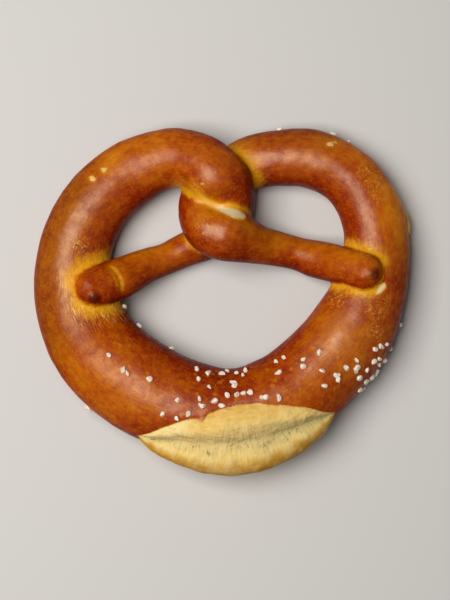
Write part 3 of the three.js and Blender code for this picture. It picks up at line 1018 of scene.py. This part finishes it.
def crumb_finish(f):
    """Colour and bump of the torn crumb: golden upper lip, fibrous groove and scalloped lower lip."""
    place = f.place()
    fold = f.field("fold")
    split = f.node("ShaderNodeSeparateXYZ", None, {"Vector": f.unrolled((1, 1, 1))})
    along = split.outputs["X"]
    scallops = f.grain(f.unrolled((230, 30, 30)), 1, 2, 0.5)
    fold = f.sum(fold, f.ramp(scallops, 0.3, 0.7, -0.05, 0.05))
    fibres = f.grain(f.unrolled((1100, 230, 230)), 1, 3, 0.55)
    strands = f.grain(f.unrolled((240, 900, 900)), 1, 4, 0.6)
    clouds = f.grain(place, 160, 3, 0.5)
    soft = f.grain(place, 420, 3, 0.6)

    colour = f.colours(f.sum(f.times(fold, 0.45), 0.5), CRUMB_STOPS)
    colour = f.mix(f.times(f.ramp(along, -0.016, -0.022), f.ramp(fold, 0.12, 0.4)), colour, CRUMB_PALE)
    colour = f.mix(f.ramp(clouds, 0.42, 0.68, 0, 0.35), colour, CRUMB_PALE)
    below = f.times(f.ramp(fold, -0.06, -0.14), f.ramp(fold, -0.34, -0.22))
    colour = f.mix(f.times(f.ramp(fibres, 0.46, 0.66), f.times(below, 0.6)), colour, CRUMB_PALE)
    groove_top = f.sum(fold, f.ramp(clouds, 0.3, 0.7, -0.2, 0.2))
    groove = f.times(f.ramp(fold, -0.2, -0.08), f.ramp(groove_top, 0.62, 0.16))
    colour = f.mix(f.times(groove, f.ramp(along, -0.02, 0.026, 0.35, 0.72)), colour, GROOVE)
    lip = f.ramp(fold, 0.0, 0.15)
    colour = f.mix(f.times(f.ramp(strands, 0.5, 0.66), f.times(lip, 0.35)), colour, CRUMB_PALE)
    colour = f.mix(f.times(f.ramp(strands, 0.48, 0.34), f.times(lip, 0.3)), colour, CRUMB_EDGE)
    colour = f.mix(f.ramp(soft, 0.56, 0.7, 0, 0.3), colour, CRUMB_PALE)
    colour = f.mix(f.ramp(soft, 0.44, 0.3, 0, 0.3), colour, CRUMB_EDGE)
    grain = f.times(f.ramp(fold, 0.75, 0.4), f.ramp(fold, -0.4, -0.2))
    colour = f.mix(f.times(f.ramp(fibres, 0.44, 0.3), f.times(grain, 0.16)), colour, CRUMB_EDGE)

    holes = f.grain(f.unrolled((700, 430, 430)), 1, 3, 0.6)
    lower_row = f.times(f.ramp(fold, -0.17, -0.11), f.ramp(fold, -0.02, -0.07))
    lower_row = f.times(lower_row, f.ramp(holes, 0.55, 0.66, 0, 0.6))
    upper_row = f.times(f.ramp(fold, 0.24, 0.32), f.ramp(fold, 0.44, 0.36))
    upper_row = f.times(upper_row, f.ramp(holes, 0.64, 0.7, 0, 0.35))
    pores = f.sum(lower_row, upper_row)
    # The pores darkened with painted shade inside the small holes
    colour = f.mix(pores, colour, PORE_SHADE)
    colour = f.mix(f.ramp(f.field("crumb"), 0.9, 0.1, 0, 0.6), colour, CRUMB_EDGE)

    height = f.sum(f.times(f.times(fibres, grain), 0.7), f.times(soft, 0.4))
    height = f.sum(height, f.times(f.times(strands, lip), 0.5))
    return colour, f.bump(f.sum(height, f.times(pores, -0.8)), CRUMB_RELIEF, 0.85)


def warped(f, scale):
    """Places shifted to and fro a little, so that lines drawn from them wander."""
    drift = f.node("ShaderNodeTexNoise", None, {"Vector": f.place(), "Scale": scale, "Detail": 2.0})
    centred = f.node("ShaderNodeVectorMath", {"operation": "SUBTRACT"})
    f.feed(centred.inputs[0], drift.outputs["Color"])
    f.feed(centred.inputs[1], (0.5, 0.5, 0.5))
    moved = f.node("ShaderNodeVectorMath", {"operation": "MULTIPLY_ADD"})
    f.feed(moved.inputs[0], centred.outputs[0])
    f.feed(moved.inputs[1], (CRACK_WANDER, CRACK_WANDER, CRACK_WANDER))
    f.feed(moved.inputs[2], f.place())
    return moved.outputs[0]


def place_height(f):
    """Height above the tray, in metres."""
    split = f.node("ShaderNodeSeparateXYZ", None, {"Vector": f.place()})
    return split.outputs["Z"]


def coarse_salt():
    """Opaque creamy salt with a little sparkle on its broken faces."""
    f = Finish("coarse salt")
    place = f.place()
    cloud = f.grain(place, 420, 3)
    chips = f.grain(place, 1600, 2)
    f.set(Base_Color=f.mix(f.ramp(cloud, 0.3, 0.7), SALT_WARM, SALT_WHITE))
    f.set(Roughness=f.ramp(chips, 0.35, 0.65, 0.34, 0.6), Normal=f.bump(chips, SALT_RELIEF, 0.7))
    f.set(Subsurface_Weight=0.25, Subsurface_Scale=0.001, IOR=1.5)
    return f.material


def pale_floor():
    """A plain matt studio floor."""
    f = Finish("pale floor")
    f.set(Base_Color=(*FLOOR, 1), Roughness=0.8)
    return f.material


# How deep the fine relief is and how far the golden cracks wander, in metres
CRUST_RELIEF = 0.00025
CRUMB_RELIEF = 0.0009
SALT_RELIEF = 0.00025
CRACK_WANDER = 0.0024

# Colours as light reflected, red, green and blue
CRUST_STOPS = [
    (0.0, (0.62, 0.2, 0.008)),
    (0.25, (0.52, 0.132, 0.003)),
    (0.5, (0.4, 0.066, 0.0015)),
    (0.75, (0.28, 0.022, 0.001)),
    (1.0, (0.17, 0.008, 0.0008)),
]
GOLDEN = (0.6, 0.2, 0.006)
HALO = (0.84, 0.42, 0.01)
HALO_DEEP = (0.72, 0.28, 0.006)
PALE_GOLD = (0.82, 0.47, 0.1)
SEAM = (0.86, 0.72, 0.42)
SCORCHED = (0.07, 0.008, 0.004)
BLISTER = (0.9, 0.6, 0.18)
BASE = (0.42, 0.17, 0.05)
CRUMB_STOPS = [
    (0.05, (0.42, 0.2, 0.03)),
    (0.24, (0.64, 0.33, 0.03)),
    (0.31, (0.54, 0.25, 0.025)),
    (0.36, (0.72, 0.4, 0.06)),
    (0.4, (0.93, 0.66, 0.21)),
    (0.48, (0.91, 0.67, 0.26)),
    (0.62, (0.89, 0.62, 0.22)),
    (0.78, (0.84, 0.55, 0.15)),
    (0.95, (0.76, 0.44, 0.1)),
]
CRUMB_PALE = (0.92, 0.72, 0.31)
CRUMB_EDGE = (0.62, 0.32, 0.05)
GROOVE = (0.6, 0.49, 0.2)
# painted shade inside the crumb's pores
PORE_SHADE = (0.32, 0.23, 0.07)
TORN_DARK = (0.74, 0.4, 0.06)
TORN_PALE = (0.95, 0.68, 0.22)
SALT_WARM = (0.86, 0.69, 0.54)
SALT_WHITE = (0.97, 0.88, 0.75)
FLOOR = (0.66, 0.65, 0.63)
LAMP_WHITE = (1.0, 0.97, 0.94)
SKY_WHITE = (1.0, 0.97, 0.93)


def build_pretzel():
    """The dressed dough with its finish kept on it, and the salt on top."""
    bm, fields = shape_dough()
    tree = BVHTree.FromBMesh(bm)
    dough = object_from(bm, "dough", baked_dough())
    for name, values in fields.items():
        if name not in ("along", "angle"):
            store(dough.data, name, values)
    grains = object_from(salt(tree), "salt", coarse_salt())
    grains.data.shade_flat()
    return dough, grains


def softbox(name, place, size, power, colour):
    """A square studio light that looks at the pretzel."""
    data = bpy.data.lights.new(name, "AREA")
    data.shape = "SQUARE"
    data.size = size
    data.energy = power
    data.color = colour
    lamp = bpy.data.objects.new(name, data)
    lamp.location = place
    lamp.rotation_euler = (-Vector(place)).to_track_quat("-Z", "Y").to_euler()
    bpy.context.scene.collection.objects.link(lamp)


def studio():
    """A pale floor, soft light and the camera straight above."""
    bm = bmesh.new()
    bmesh.ops.create_grid(bm, x_segments=1, y_segments=1, size=1.5)
    floor = object_from(bm, "floor", pale_floor())
    softbox("top light", place=(-0.34, 0.06, 0.84), size=0.64, power=9.0, colour=LAMP_WHITE)
    world = bpy.data.worlds.new("studio")
    world.use_nodes = True
    sky = world.node_tree.nodes["Background"].inputs
    sky["Color"].default_value = (*SKY_WHITE, 1)
    sky["Strength"].default_value = 0.08
    bpy.context.scene.world = world
    bpy.context.scene.view_settings.view_transform = "Standard"
    camera = bpy.data.cameras.new("camera")
    camera.lens = LENS
    camera.sensor_width = SENSOR
    camera.sensor_fit = "AUTO"
    view = bpy.data.objects.new("camera", camera)
    away = FRAME_HEIGHT * LENS / SENSOR
    view.location = (*metres(FRAME_MIDDLE), (SCALE_HEIGHT + away) * 0.001)
    bpy.context.scene.collection.objects.link(view)
    bpy.context.scene.camera = view


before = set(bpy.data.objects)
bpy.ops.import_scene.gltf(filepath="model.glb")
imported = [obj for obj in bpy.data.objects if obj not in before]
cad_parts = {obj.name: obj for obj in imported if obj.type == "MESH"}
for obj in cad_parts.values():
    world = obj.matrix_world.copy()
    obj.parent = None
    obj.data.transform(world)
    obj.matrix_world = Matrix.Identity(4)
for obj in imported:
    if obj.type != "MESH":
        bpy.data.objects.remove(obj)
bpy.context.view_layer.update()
dough, grains = build_pretzel()
for piece, slot in ((dough, "crust"), (grains, "salt")):
    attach(piece, "root")
    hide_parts("pretzel")
studio()
